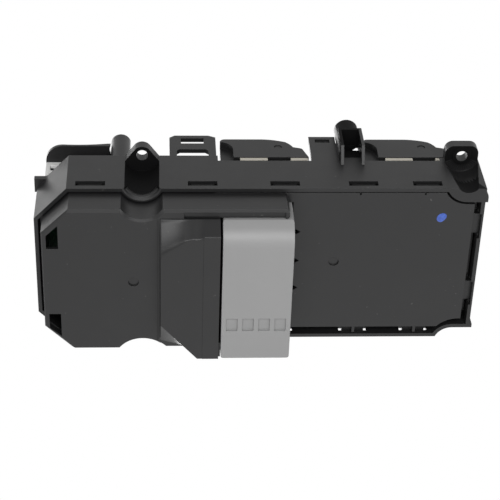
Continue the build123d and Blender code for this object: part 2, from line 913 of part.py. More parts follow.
def cover_latches():
    """Barbs that snap into the housing's slots."""
    z0 = latch_z - latch_height / 2 + latch_clearance
    half = latch_length / 2 - latch_end_gap
    barbs = Part()
    reach = housing_half_width - 0.3
    low_z = skirt_end_z - flange_thickness / 2
    for x in side_latch_xs:
        barbs += block(x - half, x + half, -reach, floor_near_y + cover_wall, z0, low_z)
        barbs += block(x - half, x + half, floor_far_y - cover_wall, reach, z0, low_z)
    for y in end_latch_ys:
        barbs += block(floor_rear_x - cover_wall, housing_rear_x - 0.3, y - half, y + half, z0, low_z)
    walls = inset(housing_outline(), housing_wall + flange_gap)
    z1 = z0 + latch_barb_height
    tips = plate(housing_outline(), z1, 0) - plate(walls, z1 - over, over)
    return barbs - tips


def latch_ribs():
    """Thin ribs over the latches, in the gap between the floor and the far wall."""
    ribs = Part()
    for x in side_latch_xs[-2:]:
        ribs += block(x - 0.7, x + 0.7, floor_far_y - over, inner_near_y - flange_gap, floor_z + 0.6, latch_z)
    return ribs


def header_opening():
    x0 = header_x0 - header_gap
    x1 = header_x1 + header_gap
    y0 = hood_near_y
    window = block(x0, x1, y0, header_seat_y1 + header_gap, ridge_z - over, skirt_end_z + over)
    for y in notch_ys:
        half = notch_length / 2
        notch = polygon([(x1, y - half), (x1 + notch_depth, y), (x1, y + half)])
        window += plate(notch, floor_z - over, floor_z + cover_wall + over)
    above = block(x0, x1, 0, header_y1 + header_far_margin, ridge_z - over, floor_z)
    return window + above


def corner_windows():
    """Two openings at the box's front corners, their outer edges along the corner cuts."""
    x0 = box_front_x + 2.2
    x1 = x0 + 5.3
    near = polygon([(x0, -18.7), (x0, -25.6), (x1, -30.9), (x1, -18.7)])
    far = polygon([(x0, 17.2), (x1, 17.2), (x1, 29.9), (x0, 25.0)])
    return plate(near, box_z - over, box_z + 2 * cover_wall) + plate(far, box_z - over, box_z + 2 * cover_wall)


def gate_marks():
    front_x, front_y = front_gate_mark
    rear_x, rear_y = rear_gate_mark
    return (
        rod(front_x, front_y, gate_mark_r, box_z - over, box_z + gate_mark_depth)
        + rod(rear_x, rear_y, gate_mark_r, floor_z - over, floor_z + gate_mark_depth)
    )


def floor_ticks():
    """Small slots in the near edge of the shallow bay's floor."""
    ticks = Part()
    half = floor_tick_width / 2
    for x in floor_tick_xs:
        ticks += block(
            x - half, x + half, floor_near_y - over, floor_near_y + floor_tick_length, floor_z - over, floor_z + over
        )
    return ticks


def near_trough_bevel():
    """Bevel round the near front trough's clearance, in the front box's outer face."""
    r = near_front_trough_clear_r
    bevel = near_front_trough_bevel
    return Pos(-ear_x, -ear_y, box_z + bevel / 2) * Cone(r + bevel, r, bevel)


def cover_props():
    """Posts on the cover's flange that carry the board's edge."""
    props = Part()
    for x in prop_xs:
        for y in (floor_near_y + prop_width / 2, floor_far_y):
            props += block(
                x, x + prop_length, y - prop_width / 2, y + prop_width / 2, skirt_end_z - flange_thickness, board_under_z
            )
    return props


def base_cover():
    body = outer_cover() + cover_skirt() + cover_latches() + latch_ribs() + cover_props() + ridge(0)
    body += ridge_foot_fillet()
    body -= cover_hollow() + hood_groove()
    body -= trough_clearances(0, ridge_z - over, board_under_z + over) + near_trough_bevel()
    body -= header_opening() + corner_windows() + gate_marks() + floor_ticks() + ridge_step()
    return body + slot_rib()


def header_profile():
    """Side outline of the header, sloped at its closed end."""
    y0, y1 = header_y0, header_y1
    slope_end = y0 + header_top_slope
    return polygon([
        (y0, board_under_z), (y0, ridge_z + header_slope_drop), (slope_end, ridge_z), (y1, ridge_z),
        (y1, header_overhang_z), (header_seat_y1, header_overhang_z), (header_seat_y1, board_under_z),
    ])


def header_body():
    body = end_form(header_profile(), header_x0, header_x1)
    crown = body.edges().filter_by(Axis.X).sort_by(Axis.Z)[:2].sort_by(Axis.Y)[0]
    body = fillet(crown, header_crown_r)
    upright = body.edges().filter_by(Axis.Z).sort_by(Axis.Y)
    body = fillet(upright[-2:], header_end_r)
    return fillet(body.edges().filter_by(Axis.Z).sort_by(Axis.Y)[:2], header_near_edge_r)


def header_spaces():
    """The plug's mouth and the hollow behind it."""
    x0 = header_x0 + header_wall
    x1 = header_x1 - header_wall
    top = ridge_z + header_wall
    back = header_y1 - header_mouth_depth
    mouth = block(x0, x1, back, header_y1 + over, top, header_overhang_z - header_wall)
    rear = block(x0, x1, header_y0 + 8.0, back - header_wall, top, board_under_z + over)
    lower = block(x0, x1, back, header_seat_y1 - header_wall, header_overhang_z, board_under_z + over)
    return mouth + rear + lower


def header_pockets():
    """Four plain pockets in the header's outer face."""
    pockets = Part()
    first = (header_x0 + header_x1) / 2 - 1.5 * pocket_pitch
    for i in range(4):
        x = first + i * pocket_pitch
        pockets += block(
            x - pocket_width / 2, x + pocket_width / 2, pocket_y0, pocket_y1, ridge_z - over, ridge_z + pocket_depth
        )
    return pockets


def connector_pins():
    """Two rows of bent contact pins, from the mouth back and up into the board."""
    middle_x = (header_x0 + header_x1) / 2
    middle_z = (ridge_z + header_overhang_z) / 2
    back = header_y1 - header_mouth_depth
    half = pin_size / 2
    pins = []
    for row in (-1, 1):
        z = middle_z + row * pin_row_pitch / 2
        bend_y = back - 8.0 + row * 2.5
        for i in range(pin_count):
            x = middle_x + (i - (pin_count - 1) / 2) * pin_pitch_x
            tail = block(x - half, x + half, bend_y - half, back + pin_reach, z - half, z + half)
            leg = block(x - half, x + half, bend_y - half, bend_y + half, z - half, board_under_z)
            pins.append(tail + leg)
    return pins


def connector_header(pins):
    body = header_body() - header_spaces() - header_pockets()
    back = header_y1 - header_mouth_depth
    wall = block(header_x0, header_x1, back - header_wall - over, back + over, ridge_z, header_overhang_z)
    for pin in pins:
        body -= pin & wall
    return body


def board_outline():
    return inset(housing_outline(), housing_wall + board_gap)


def circuit_board():
    board = plate(board_outline(), board_under_z, board_top_z)
    clear = trough_outer_r + board_gap
    for side in (-1, 1):
        board -= rod(-ear_x, side * ear_y, clear, board_under_z - over, board_top_z + over)
        board -= rod(ear_x, side * ear_y, clear, board_under_z - over, board_top_z + over)
        y0, y1 = sorted((side * (ear_y - clear), side * ear_y))
        board -= block(ear_x, ear_x + 20, y0, y1, board_under_z - over, board_top_z + over)
    for x, y in boss_places:
        board -= rod(x, y, screw_r + 0.2, board_under_z - over, board_top_z + over)
    return board


def board_screws():
    screws = []
    for x, y in boss_places:
        shank = rod(x, y, screw_r, board_under_z, board_under_z + screw_length)
        hexagon = Pos(x, y) * RegularPolygon(screw_head_r, 6)
        screws.append(shank + plate(hexagon, board_under_z - screw_head_height, board_under_z))
    return screws


def switch_unit(x, y, length, width, top_z, slot):
    """A contact unit on the board, with a slot for a leg or stem."""
    unit = block(x - length / 2, x + length / 2, y - width / 2, y + width / 2, board_top_z, top_z)
    slot_x, slot_y, depth = slot
    return unit - block(x - slot_x, x + slot_x, y - slot_y, y + slot_y, top_z - depth, top_z + over)


def switch_units():
    leg_slot = (leg_length / 2 + leg_swing, leg_width / 2 + 0.5, switch_slot_depth)
    units = []
    for front_x, side in rocker_places():
        x = front_x + rocker_pivot_offset
        y = side * (rocker_outer_y - rocker_width / 2)
        units.append(switch_unit(x, y, switch_unit_length, switch_unit_width, switch_unit_top_z, leg_slot))
    units.append(switch_unit(lock_pivot_x, lock_leg_y, switch_unit_length, 12.0, switch_unit_top_z, leg_slot))
    units.append(block(button_x - 5, button_x + 5, button_y - 4, button_y + 4, board_top_z, button_stem_z - 3.2))
    stem_slot = (selector_travel + 2.2, selector_stem_width / 2 + 0.4, 3.0)
    units.append(switch_unit(selector_x, selector_y, 14.0, 9.0, -8.0, stem_slot))
    mirror = rod(mirror_x, mirror_y, 8.5, board_top_z, front_deck_z - deck_wall - 4)
    units.append(mirror)
    return units


def relays():
    boxes = []
    for x in relay_xs:
        relay = block(
            x - relay_length / 2, x + relay_length / 2, relay_y - relay_width / 2, relay_y + relay_width / 2,
            board_top_z, board_top_z + relay_height,
        )
        boxes.append(chamfer(relay.faces().sort_by(Axis.Z)[-1].edges(), relay_edge))
    return boxes


def processor_chip():
    half = chip_size / 2
    y = housing_half_width - chip_margin
    body = block(chip_x - half, chip_x + half, y - half, y + half, board_top_z, board_top_z + chip_height)
    corner = body.edges().filter_by(Axis.Z).sort_by(Axis.X)[0]
    return chamfer(corner, chip_corner)


def capacitors():
    cans = []
    for x in capacitor_xs:
        can = rod(x, capacitor_y, capacitor_r, board_top_z, board_top_z + capacitor_height)
        cans.append(chamfer(can.edges().sort_by(Axis.Z)[-1], capacitor_edge))
    return cans


def rocker_profile(x):
    """Side outline of a window rocker: a flat back, a rounded front and a finger step at the rear."""
    low, top = rocker_bottom_z, rocker_top_z
    r = rocker_nose_r
    mid = r * (1 - math.sqrt(0.5))
    end = x + rocker_length
    return make_face([
        Line((x, low), (x, top - r)),
        ThreePointArc((x, top - r), (x + mid, top - mid), (x + r, top)),
        Line((x + r, top), (end - 23.1, top)),
        ThreePointArc((end - 23.1, top), (end - 15.3, top - 0.8), (end - 10.2, top - 2.5)),
        ThreePointArc((end - 10.2, top - 2.5), (end - 8.1, top - 4.8), (end - 6.8, top - 7.2)),
        Line((end - 6.8, top - 7.2), (end - 3.5, top - 8.2)),
        ThreePointArc((end - 3.5, top - 8.2), (end - 2.6, top - 8.9), (end - 2.2, top - 9.9)),
        Line((end - 2.2, top - 9.9), (end, low)),
        Line((end, low), (x, low)),
    ])


def rocker_hollow(x):
    """Side outline of the space inside a rocker, behind its solid front."""
    top = rocker_top_z - rocker_wall
    end = x + rocker_length
    low = rocker_bottom_z - over
    return polygon([
        (x + rocker_solid_nose, low), (x + rocker_solid_nose, top), (end - 23.1, top), (end - 15.5, top - 0.8),
        (end - 11.2, top - 2.3), (end - 9.5, top - 4.8), (end - 7.7, top - 7.2),
        (end - rocker_wall - 3.0, top - 8.8), (end - rocker_wall, low),
    ])


def scoop_outline(x):
    """Finger recess under the rocker's front lip, seen from the side."""
    low = rocker_bottom_z - over
    top = scoop_top_z
    return make_face([
        Line((x - over, low), (x + scoop_length, low)),
        Line((x + scoop_length, low), (x + scoop_length, top - 7.5)),
        ThreePointArc((x + scoop_length, top - 7.5), (x + scoop_length - 1.6, top - 2.4), (x, top)),
        Line((x, top), (x - over, top)),
        Line((x - over, top), (x - over, low)),
    ])


def window_rocker(front_x, side):
    y0, y1 = sorted(rocker_span(side))
    body = side_form(rocker_profile(front_x), y0, y1)
    hollow = side_form(rocker_hollow(front_x), y0 + rocker_wall, y1 - rocker_wall)
    scoop = scoop_outline(front_x)
    body -= hollow
    body -= side_form(scoop, y0 - over, y0 + scoop_depth) + side_form(scoop, y1 - scoop_depth, y1 + over)
    x = front_x + rocker_pivot_offset
    return body - cross_rod(x, rocker_pivot_z, pivot_r + pivot_hole_gap, y0 - over, y1 + over)


def rocker_actuator(front_x, side):
    """Light frame that fits inside the rocker's walls, open at the pivot, with a leg."""
    y0, y1 = sorted(rocker_span(side))
    y0 += rocker_wall
    y1 -= rocker_wall
    x0 = front_x + rocker_solid_nose
    x1 = front_x + rocker_length - rocker_wall - actuator_rear_inset
    pivot_x = front_x + rocker_pivot_offset
    frame = block(x0, x1, y0, y1, actuator_bottom_z, actuator_top_z - 2)
    edge = rocker_wall - actuator_flange_inset
    flange_x1 = front_x + rocker_length - actuator_flange_inset
    frame += block(x0, flange_x1, y0 - edge, y1 + edge, actuator_bottom_z, rocker_bottom_z)
    wall = actuator_wall
    frame -= block(x0 + wall, x1 - wall, y0 + wall, y1 - wall, actuator_bottom_z - over, actuator_top_z)
    frame -= block(
        pivot_x - actuator_pillar_room, pivot_x + actuator_pillar_room, y0 - 2 * over, y1 + 2 * over,
        actuator_bottom_z - over, actuator_top_z,
    )
    y = (y0 + y1) / 2
    bridge = block(x0 + wall / 2, x1 - wall / 2, y - 3, y + 3, actuator_bottom_z + 1, actuator_bottom_z + 1 + wall)
    leg = block(
        pivot_x - leg_length / 2, pivot_x + leg_length / 2, y - leg_width / 2, y + leg_width / 2,
        leg_tip_z, actuator_bottom_z + 1 + wall,
    )
    tip = leg.edges().filter_by(Axis.Y).sort_by(Axis.Z)[:2]
    return frame + bridge + chamfer(tip, 1.2)


def lock_hook():
    """Snap hook of the door lock rocker, behind the window in its carrier."""
    x0 = lock_carrier_x0 + lock_window_inset
    y0 = lock_carrier_near_y + lock_wall + lock_hook_gap
    return block(
        x0 + lock_hook_gap, x0 + lock_window_length - lock_hook_gap, y0, y0 + lock_hook_thickness,
        lock_window_z0 - over, lock_cap_z + over,
    )


def door_lock_rocker():
    """Thin cap with a shallow hollow along its top, cut back round the front post."""
    cap = block(lock_x0, lock_x1, lock_near_y, lock_far_y, lock_cap_z, lock_top_z)
    corner = cap.edges().filter_by(Axis.Z).sort_by(Axis.X)[:2].sort_by(Axis.Y)[0]
    cap = fillet(corner, lock_corner_r)
    half = lock_length / 2 - 2.0
    r = (half**2 + lock_dish**2) / (2 * lock_dish)
    dish = cross_rod(lock_pivot_x, lock_top_z + r - lock_dish, r, lock_near_y - over, lock_far_y + over)
    post_y = front_post_r - housing_half_width
    post_room = rod(front_post_x, post_y, front_post_r + lock_post_gap, lock_cap_z - over, lock_top_z + over)
    return cap - dish - post_room + lock_hook()


def door_lock_carrier():
    """White frame under the door lock rocker, with a latch window and a leg."""
    y0 = lock_carrier_near_y
    y1 = lock_carrier_far_y
    x0 = lock_carrier_x0
    x1 = 2 * lock_pivot_x - x0
    frame = block(x0, x1, y0, y1, lock_carrier_bottom_z, lock_cap_z)
    frame -= block(
        x0 + lock_wall, x1 - lock_wall, y0 + lock_wall, y1 - lock_wall,
        lock_carrier_bottom_z - over, lock_cap_z - lock_wall,
    )
    x = lock_pivot_x
    half_y = lock_leg_width / 2
    leg = block(
        x - leg_length / 2, x + leg_length / 2, lock_leg_y - half_y, lock_leg_y + half_y, leg_tip_z, lock_cap_z - over
    )
    window_x = x0 + lock_window_inset
    window = block(
        window_x, window_x + lock_window_length, y0 - over, y0 + 2 * over, lock_window_z0, lock_window_z1
    )
    hook_y = y0 + lock_wall
    hook_room = block(
        window_x, window_x + lock_window_length, hook_y, hook_y + lock_hook_thickness + 2 * lock_hook_gap,
        lock_cap_z - lock_wall - over, lock_cap_z + over,
    )
    bore = cross_rod(x, lock_pivot_z, lock_pivot_r + pivot_hole_gap, y0 - over, y1 + over)
    return frame - window - hook_room - bore + leg


def window_lock_button():
    """Push button with a wide cap and a stem, sliding in its guide."""
    half_x = button_length / 2
    half_y = button_width / 2
    cap = block(
        button_x - half_x, button_x + half_x, button_y - half_y, button_y + half_y,
        front_deck_z - deck_wall + 0.5, button_top_z,
    )
    cap = chamfer(cap.faces().sort_by(Axis.Z)[-1].edges(), button_chamfer)
    half = half_x - 2 * button_chamfer
    r = (half**2 + button_dish**2) / (2 * button_dish)
    dish = cross_rod(button_x, button_top_z + r - button_dish, r, button_y - half_y - over, button_y + half_y + over)
    stem = block(button_x - 2, button_x + 2, button_y - 2, button_y + 2, button_stem_z, front_deck_z)
    return cap - dish + stem


def mirror_gimbal():
    """Square ring with cut corners and pins along x; the pad's own pins enter it along y."""
    z = (gimbal_z0 + gimbal_z1) / 2
    side = 2 * gimbal_half
    hole = side - 2 * gimbal_wall
    ring = Box(side, side, gimbal_z1 - gimbal_z0)
    ring = chamfer(ring.edges().filter_by(Axis.Z), gimbal_corner) - Box(hole, hole, side)
    ring = Pos(mirror_x, mirror_y, z) * ring
    reach = gimbal_half + gimbal_side_gap + gimbal_lug - 0.2
    pins = Pos(mirror_x, mirror_y, z) * Rot(0, 90, 0) * Cylinder(gimbal_pin_r, 2 * reach)
    pins -= Pos(mirror_x, mirror_y, z) * Box(side - gimbal_wall, side, side)
    bore = cross_rod(mirror_x, z, gimbal_pin_r + gimbal_pin_gap, mirror_y - side, mirror_y + side)
    return ring + pins - bore


def mirror_pad():
    """Round four-way pad with two legs whose pins turn in the gimbal ring."""
    z = (gimbal_z0 + gimbal_z1) / 2
    pad = rod(mirror_x, mirror_y, mirror_pad_r, mirror_pad_z0, mirror_pad_z1)
    pad = chamfer(pad.edges().sort_by(Axis.Z)[-1], mirror_pad_chamfer)
    inner_r = mirror_pad_r - mirror_rim
    dish = Cone(inner_r / 2, inner_r, mirror_dish)
    pad -= Pos(mirror_x, mirror_y, mirror_pad_z1 - mirror_dish / 2) * dish
    for side in (-1, 1):
        near = mirror_y + side * (gimbal_half + gimbal_side_gap)
        far = near + side * gimbal_lug
        y0, y1 = sorted((near, far))
        pad += block(mirror_x - 1.9, mirror_x + 1.9, y0, y1, z - 1.7, mirror_pad_z0)
        pin_y0, pin_y1 = sorted((far, mirror_y + side * (gimbal_half - gimbal_wall + 0.3)))
        pad += cross_rod(mirror_x, z, gimbal_pin_r, pin_y0, pin_y1)
    return pad


def mirror_selector():
    half_x = selector_cap_length / 2 + selector_travel + 1.5
    half_y = selector_cap_width / 2
    foot = block(
        selector_x - half_x, selector_x + half_x, selector_y - half_y, selector_y + half_y,
        front_deck_z + 0.1, front_deck_z + 1.7,
    )
    half_y -= 0.8
    half_x = selector_cap_length / 2
    cap = block(
        selector_x - half_x, selector_x + half_x, selector_y - half_y, selector_y + half_y,
        front_deck_z + 1.7, selector_top_z,
    )
    cap = chamfer(cap.faces().sort_by(Axis.Z)[-1].edges(), selector_edge)
    rib = block(
        selector_x - 0.8, selector_x + 0.8, selector_y - half_y, selector_y + half_y,
        selector_top_z - 1, selector_top_z + 1,
    )
    stem = block(
        selector_x - 2, selector_x + 2, selector_y - selector_stem_width / 2, selector_y + selector_stem_width / 2,
        -10.4, front_deck_z + 0.2,
    )
    return foot + cap + rib + stem


def group(solids):
    """Separate solids kept apart in one node."""
    found = []
    for shape in solids:
        found += shape.solids()
    return Compound(children=found)


rocker_names = ("front_left", "front_right", "rear_left", "rear_right")


def build():
    pins = connector_pins()
    nodes = {
        "upper_housing": upper_housing(),
        "base_cover": base_cover(),
        "connector_header": connector_header(pins),
        "connector_pins": group(pins),
        "circuit_board": circuit_board(),
        "board_screws": group(board_screws()),
        "switch_units": group(switch_units()),
        "relays": group(relays()),
        "processor_chip": processor_chip(),
        "capacitors": group(capacitors()),
        "door_lock_rocker": door_lock_rocker(),
        "door_lock_carrier": door_lock_carrier(),
        "window_lock_button": window_lock_button(),
        "mirror_gimbal": mirror_gimbal(),
        "mirror_pad": mirror_pad(),
        "mirror_selector": mirror_selector(),
    }
    for name, (front_x, side) in zip(rocker_names, rocker_places()):
        nodes[name + "_rocker"] = window_rocker(front_x, side)
        nodes[name + "_actuator"] = rocker_actuator(front_x, side)
    return nodes


os.makedirs("parts", exist_ok=True)
for node_name, shape in build().items():
    export_step(shape, f"parts/{node_name}.step")
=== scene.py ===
import math

import bmesh
import bpy
from mathutils import Matrix, Vector

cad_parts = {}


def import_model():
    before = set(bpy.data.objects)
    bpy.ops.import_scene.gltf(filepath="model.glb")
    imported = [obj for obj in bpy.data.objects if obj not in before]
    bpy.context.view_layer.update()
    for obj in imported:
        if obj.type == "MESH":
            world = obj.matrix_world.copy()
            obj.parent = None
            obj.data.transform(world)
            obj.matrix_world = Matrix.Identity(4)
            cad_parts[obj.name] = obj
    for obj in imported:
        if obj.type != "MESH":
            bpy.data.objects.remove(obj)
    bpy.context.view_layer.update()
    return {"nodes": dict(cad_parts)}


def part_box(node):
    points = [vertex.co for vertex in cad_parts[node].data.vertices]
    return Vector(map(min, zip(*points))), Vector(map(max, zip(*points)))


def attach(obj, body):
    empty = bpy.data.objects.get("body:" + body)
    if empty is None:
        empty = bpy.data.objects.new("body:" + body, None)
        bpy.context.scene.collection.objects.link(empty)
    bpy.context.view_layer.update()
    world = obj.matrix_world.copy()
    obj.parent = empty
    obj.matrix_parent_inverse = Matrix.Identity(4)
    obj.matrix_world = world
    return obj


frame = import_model()

MM = 0.001

# Camera, fitted to the photograph: place in metres and axes in the row frame
CAMERA_AT = (-0.0659, -0.4171, -0.6322)
CAMERA_RIGHT = (0.99837, -0.03022, -0.04822)
CAMERA_UP = (0.00202, -0.82801, 0.56068)
CAMERA_BACK = (-0.05687, -0.55987, -0.82662)
LENS_MM = 114.3
SENSOR_MM = 36

# Sizes of the housing and its cover that the pieces below meet, in mm
EAR_X, EAR_Y = 73.8, 44.8
EAR_UNDER_Z = -5.0
TROUGH_R = 8.4
RIM_Z = -29.0
BOX_Z = -43.0
RIDGE_Z = -51.0
RIDGE_NEAR_Y = -34.6
RIDGE_FRONT_X, RIDGE_REAR_X = -65.5, -38.9
RIDGE_BEND_X, RIDGE_CORNER_X = -50.3, -45.9


class Look:
    """A material of nodes round one shader. Its patterns lie in the piece's own space."""

    def __init__(self, name, colour, roughness, metallic=0.0, specular=0.5):
        self.material = bpy.data.materials.new(name)
        self.material.use_nodes = True
        self.nodes = self.material.node_tree.nodes
        self.links = self.material.node_tree.links
        self.shader = self.nodes["Principled BSDF"]
        self.shader.inputs["Base Color"].default_value = (*colour, 1)
        self.shader.inputs["Roughness"].default_value = roughness
        self.shader.inputs["Metallic"].default_value = metallic
        self.shader.inputs["Specular IOR Level"].default_value = specular
        self.place = self.add("ShaderNodeTexCoord").outputs["Object"]

    def add(self, kind, **settings):
        node = self.nodes.new(kind)
        for key, value in settings.items():
            setattr(node, key, value)
        return node

    def join(self, output, target):
        self.links.new(output, target)

    def noise(self, scale, detail, rough, stretch=None):
        """Cloudy noise over the piece. Scale counts its cells in a metre."""
        node = self.add("ShaderNodeTexNoise")
        node.inputs["Scale"].default_value = scale
        node.inputs["Detail"].default_value = detail
        node.inputs["Roughness"].default_value = rough
        source = self.place
        if stretch:
            mapping = self.add("ShaderNodeMapping")
            mapping.inputs["Scale"].default_value = stretch
            self.join(source, mapping.inputs["Vector"])
            source = mapping.outputs["Vector"]
        self.join(source, node.inputs["Vector"])
        return node.outputs["Fac"]

    def spread(self, value, low, high, out_low=0.0, out_high=1.0):
        """The stretch of values from low to high, drawn out from out_low to out_high."""
        node = self.add("ShaderNodeMapRange")
        self.join(value, node.inputs["Value"])
        ends = {"From Min": low, "From Max": high, "To Min": out_low, "To Max": out_high}
        for name, number in ends.items():
            node.inputs[name].default_value = number
        return node.outputs["Result"]

    def blend(self, factor, first, second):
        """The first colour where the factor is 0 and the second where it is 1."""
        node = self.add("ShaderNodeMix", data_type="RGBA")
        self.join(factor, node.inputs["Factor"])
        first_socket, second_socket, result_socket = 6, 7, 2
        for number, colour in ((first_socket, first), (second_socket, second)):
            if isinstance(colour, tuple):
                node.inputs[number].default_value = (*colour, 1)
            else:
                self.join(colour, node.inputs[number])
        return node.outputs[result_socket]

    def paint(self, output):
        self.join(output, self.shader.inputs["Base Color"])

    def gloss(self, output):
        self.join(output, self.shader.inputs["Roughness"])

    def relief(self, layers, edge=0.0):
        """Bump from (height, strength, distance) layers, over edges softened by a radius in metres."""
        normal = None
        if edge:
            bevel = self.add("ShaderNodeBevel", samples=4)
            bevel.inputs["Radius"].default_value = edge
            normal = bevel.outputs["Normal"]
        for height, strength, distance in layers:
            bump = self.add("ShaderNodeBump")
            bump.inputs["Strength"].default_value = strength
            bump.inputs["Distance"].default_value = distance
            self.join(height, bump.inputs["Height"])
            if normal:
                self.join(normal, bump.inputs["Normal"])
            normal = bump.outputs["Normal"]
        self.join(normal, self.shader.inputs["Normal"])


def moulded(
    name, colour, roughness, grain=0.25, grain_size=2600, edge=0.0003, drift=0.05, specular=0.5, dust=0.0,
):
    """Moulded plastic: spark-eroded grain, slow colour drift, faint handling marks and soft edges."""
    look = Look(name, colour, roughness, specular=specular)
    dark = tuple(c * (1 - drift) for c in colour)
    light = tuple(c * (1 + drift) for c in colour)
    slow = look.noise(scale=38, detail=3, rough=0.55)
    base = look.blend(look.spread(slow, 0.3, 0.7), dark, light)
    marks = look.noise(scale=260, detail=6, rough=0.7, stretch=(1, 0.12, 0.6))
    rubbed = tuple(min(1, c * 1.3 + 0.002) for c in colour)
    base = look.blend(look.spread(marks, 0.68, 0.8, out_high=0.25), base, rubbed)
    if dust:
        specks = look.noise(scale=520, detail=2, rough=0.5)
        base = look.blend(look.spread(specks, 0.735, 0.78, out_high=dust), base, (0.09, 0.088, 0.085))
    look.paint(base)
    patches = look.noise(scale=70, detail=4, rough=0.6)
    uneven = 0.03
    look.gloss(look.spread(patches, 0.3, 0.7, roughness - uneven, roughness + uneven))
    fine = look.noise(scale=grain_size, detail=2, rough=0.6)
    grain_depth, sink, sink_depth = 0.00005, 0.05, 0.0004
    look.relief([(fine, grain, grain_depth), (slow, sink, sink_depth)], edge=edge)
    return look.material


def circuit_look():
    """Green solder mask with copper tracks under it."""
    look = Look("board_mask", (0.004, 0.022, 0.01), 0.35)
    cells = look.add("ShaderNodeTexVoronoi", feature="DISTANCE_TO_EDGE")
    cells.inputs["Scale"].default_value = 240
    look.join(look.place, cells.inputs["Vector"])
    tracks = look.spread(cells.outputs["Distance"], 0.02, 0.06, out_low=1, out_high=0)
    look.paint(look.blend(tracks, (0.003, 0.016, 0.008), (0.008, 0.035, 0.016)))
    step, step_height = 0.4, 0.0001
    look.relief([(tracks, step, step_height)])
    return look.material


def metal(name, colour, roughness):
    """Plated metal with fine drawn scratches, duller where they lie close."""
    look = Look(name, colour, roughness, metallic=1.0)
    fine = look.noise(scale=900, detail=3, rough=0.6, stretch=(1, 1, 0.1))
    dull = tuple(c * 0.75 for c in colour)
    look.paint(look.blend(look.spread(fine, 0.35, 0.75), colour, dull))
    look.gloss(look.spread(fine, 0.2, 0.8, roughness - 0.05, roughness + 0.15))
    scratch, scratch_depth = 0.2, 0.00005
    look.relief([(fine, scratch, scratch_depth)], edge=0.0001)
    return look.material


shell_black = (0.009, 0.009, 0.0093)
header_grey = (0.232, 0.232, 0.232)
looks = {
    "upper_housing": moulded("housing_grain", shell_black, 0.42, specular=0.3, dust=0.35),
    "base_cover": moulded("cover_satin", shell_black, 0.36, grain=0.12, specular=0.3, dust=0.5),
    "connector_header": moulded("connector_grey", header_grey, 0.5, grain=0.1, drift=0.02, edge=0.0004),
    "connector_pins": metal("tinned_pins", (0.62, 0.6, 0.55), 0.3),
    "circuit_board": circuit_look(),
    "board_screws": metal("zinc_screws", (0.5, 0.5, 0.51), 0.35),
    "switch_units": moulded("contact_grey", (0.06, 0.06, 0.065), 0.5),
    "relays": moulded("relay_black", (0.03, 0.03, 0.033), 0.3, grain=0.05),
    "processor_chip": moulded("chip_epoxy", (0.02, 0.02, 0.02), 0.6, grain=0.3),
    "capacitors": metal("capacitor_can", (0.55, 0.55, 0.57), 0.3),
    "door_lock_carrier": moulded("white_plastic", (0.72, 0.72, 0.71), 0.42, grain=0.05, drift=0.02),
    "mirror_gimbal": moulded("white_ring", (0.7, 0.7, 0.69), 0.42, grain=0.05, drift=0.02),
}
button = moulded("button_soft_black", (0.01, 0.01, 0.0103), 0.42, grain=0.3, grain_size=3200, specular=0.3)
ivory = moulded("ivory_plastic", (0.55, 0.52, 0.45), 0.45, grain=0.05, drift=0.03)
windows = ("front_left", "front_right", "rear_left", "rear_right")
for node in ("door_lock_rocker", "window_lock_button", "mirror_pad", "mirror_selector"):
    looks[node] = button
for place in windows:
    looks[place + "_rocker"] = button
    looks[place + "_actuator"] = ivory

for node, obj in frame["nodes"].items():
    obj.data.materials.clear()
    obj.data.materials.append(looks[node])


def paint_recess_shade(node, inside, shade_material):
    """Paint shade on the faces of a node that lie in its recesses, by giving them a darker, duller
    material of their own.
    """
    obj = frame["nodes"][node]
    obj.data.materials.append(shade_material)
    for polygon in obj.data.polygons:
        x, y, z = obj.matrix_world @ polygon.center / MM
        if inside(x, y, z):
            polygon.material_index = 1


def in_trough(x, y, z):
    """Inside a screwdriver trough, or on the underside of its ear. The rear troughs are narrower."""
    if x < 0:
        reach, top = TROUGH_R + 0.2, EAR_UNDER_Z + 0.1
    else:
        reach, top = 6.8, EAR_UNDER_Z + 1.0
    return RIM_Z + 0.2 < z < top and math.hypot(abs(x) - EAR_X, abs(y) - EAR_Y) < reach


def in_guide_channel(x, y, z):
    """On the walls of the channel between the guide's two fins."""
    middle_x, half_width, mouth_y, bottom_z, top_z = 22.3, 4.9, -38.0, -1.8, 20.0
    return abs(x - middle_x) < half_width and y < mouth_y and bottom_z < z < top_z


def in_housing_recess(x, y, z):
    return in_trough(x, y, z) or in_guide_channel(x, y, z)


def in_latch_window(x, y, z):
    """On the cover's side walls, where the housing's latch windows show them."""
    wall_y, rim_clear = 39.8, 0.5
    return abs(y) > wall_y and z > RIM_Z + rim_clear


# Painted shade: a near-black, almost unglossy plastic for the faces inside the troughs and the guide
# channel, and for the cover walls seen through the latch windows.
recess_shade = moulded("recess_painted_shade", (0.0035, 0.0035, 0.0036), 0.6, specular=0.06)
paint_recess_shade("upper_housing", in_housing_recess, recess_shade)
paint_recess_shade("base_cover", in_latch_window, recess_shade)


def vertex(bm, x, y, z):
    """A vertex at a place in mm."""
    return bm.verts.new(Vector((x, y, z)) * MM)


def mesh_object(name, bm, material, body, smooth=True):
    """Turn a mesh under work into a piece that goes with a body."""
    mesh = bpy.data.meshes.new(name)
    bm.to_mesh(mesh)
    bm.free()
    if smooth:
        for polygon in mesh.polygons:
            polygon.use_smooth = True
    obj = bpy.data.objects.new(name, mesh)
    bpy.context.scene.collection.objects.link(obj)
    mesh.materials.append(material)
    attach(obj, body)


def paint_look():
    """Blue marker paint, thinner in blots."""
    look = Look("blue_marker", (0.012, 0.045, 0.32), 0.35)
    blots = look.noise(scale=900, detail=3, rough=0.6)
    look.paint(look.blend(look.spread(blots, 0.3, 0.75), (0.018, 0.055, 0.28), (0.045, 0.11, 0.46)))
    return look.material


